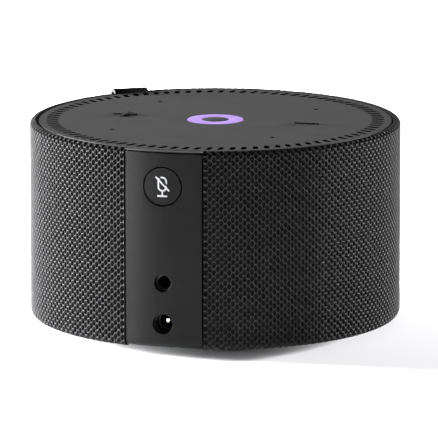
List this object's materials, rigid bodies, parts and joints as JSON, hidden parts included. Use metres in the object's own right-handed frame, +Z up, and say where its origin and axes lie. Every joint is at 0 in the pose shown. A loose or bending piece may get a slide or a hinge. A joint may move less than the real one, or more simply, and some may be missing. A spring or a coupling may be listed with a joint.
{
  "type": "smart home hub",
  "caption": "Round fabric-wrapped smart home hub with a touch top, ring light, sound slots, a rear mute button, audio outlet and power inlet.",
  "frame": {"origin": "middle of the underside of the foot, on the surface that the hub stands on", "axes": "+Z up, rear strip with the button and sockets faces +Y, plus mark towards +X"},
  "size_m": [0.098, 0.098, 0.055],
  "materials": {
    "plate_plastic": "fine matt moulded grain",
    "mark_plastic": "satin raised marks",
    "lens_plastic": "milky translucent, lit from below",
    "knit_fabric": "open knitted mesh, charcoal, stretched",
    "panel_plastic": "fine matt moulded plastic",
    "icon_print": "light grey inlaid mark",
    "tag_strap": "soft strap with paler cut edges",
    "base_plastic": "matt moulded plastic",
    "foot_rubber": "soft matt rubber",
    "black_plastic": "matt black moulded plastic",
    "black_cloth": "fine black acoustic cloth",
    "foam": "soft closed foam or silicone",
    "screw_steel": "zinc-plated steel",
    "circuit_board": "green solder mask",
    "chip_plastic": "epoxy chip body",
    "led_plastic": "LED bodies",
    "can_metal": "tinned steel",
    "thermal_pad": "soft thermal pad",
    "spreader_metal": "stamped aluminium",
    "magnet_ferrite": "ferrite",
    "speaker_steel": "zinc-plated steel",
    "basket_metal": "black stamped steel",
    "cone_paper": "coated cone",
    "surround_rubber": "butyl roll surround",
    "spider_cloth": "resin-treated corrugated cloth",
    "coil_copper": "enamelled copper winding",
    "wire_insulation": "insulated lead",
    "ribbon_film": "flat flexible cable",
    "connector_plastic": "connector housing",
    "contact_metal": "nickel-plated contact"
  },
  "bodies": {
    "root": {"top_cover": "plate_plastic", "touch_marks": "mark_plastic", "light_ring_lens": "lens_plastic", "centre_cap": "plate_plastic", "fabric_sleeve": "knit_fabric", "rear_panel": "panel_plastic", "loop_tag": "tag_strap", "base_cover": "base_plastic", "foot_pad": "foot_rubber", "base_screws": "screw_steel", "slot_mesh": "black_cloth", "top_cover_screws": "screw_steel", "touch_board": "circuit_board", "touch_board_screws": "screw_steel", "touch_foam_pads": "foam", "status_leds": "led_plastic", "light_baffle": "foam", "microphones": "can_metal", "mic_seals": "foam", "inner_housing": "black_plastic", "panel_screws": "screw_steel", "speaker_box": "black_plastic", "box_gasket": "foam", "speaker_box_screws": "screw_steel", "speaker_baffle": "black_plastic", "baffle_screws": "screw_steel", "speaker_basket": "basket_metal", "speaker_gasket": "foam", "speaker_screws": "screw_steel", "magnet": "magnet_ferrite", "magnet_yoke": "speaker_steel", "magnet_top_plate": "speaker_steel", "cone_surround": "surround_rubber", "spider": "spider_cloth", "speaker_terminals": "contact_metal", "speaker_wires": "wire_insulation", "wire_grommet": "foam", "main_board": "circuit_board", "processor": "chip_plastic", "shield_can": "can_metal", "thermal_pads": "thermal_pad", "heat_spreader": "spreader_metal", "power_parts": "chip_plastic", "board_connectors": "connector_plastic", "ribbon_cable": "ribbon_film", "wifi_antennas": "coil_copper", "antenna_leads": "wire_insulation", "audio_jack": "black_plastic", "power_jack": "black_plastic", "power_pin": "contact_metal", "button_bracket": "black_plastic", "button_board": "circuit_board", "button_switch": "black_plastic", "switch_dome": "contact_metal"},
    "mute_key": {"mute_button": "panel_plastic", "mute_icon": "icon_print", "switch_plunger": "black_plastic"},
    "speaker_driver": {"voice_coil": "coil_copper", "speaker_cone": "cone_paper", "dust_cap": "cone_paper"}
  },
  "joints": [
    {"name": "mute_press", "type": "slide", "parent": "root", "child": "mute_key", "axis": [0, -1, 0], "range_m": [0, 0.0004], "stiffness_N_per_m": 3000, "deforming": ["switch_dome"]},
    {"name": "cone_travel", "type": "slide", "parent": "root", "child": "speaker_driver", "axis": [0, 0, 1], "range_m": [-0.0015, 0.0015], "stiffness_N_per_m": 900, "deforming": ["cone_surround", "spider"]}
  ]
}
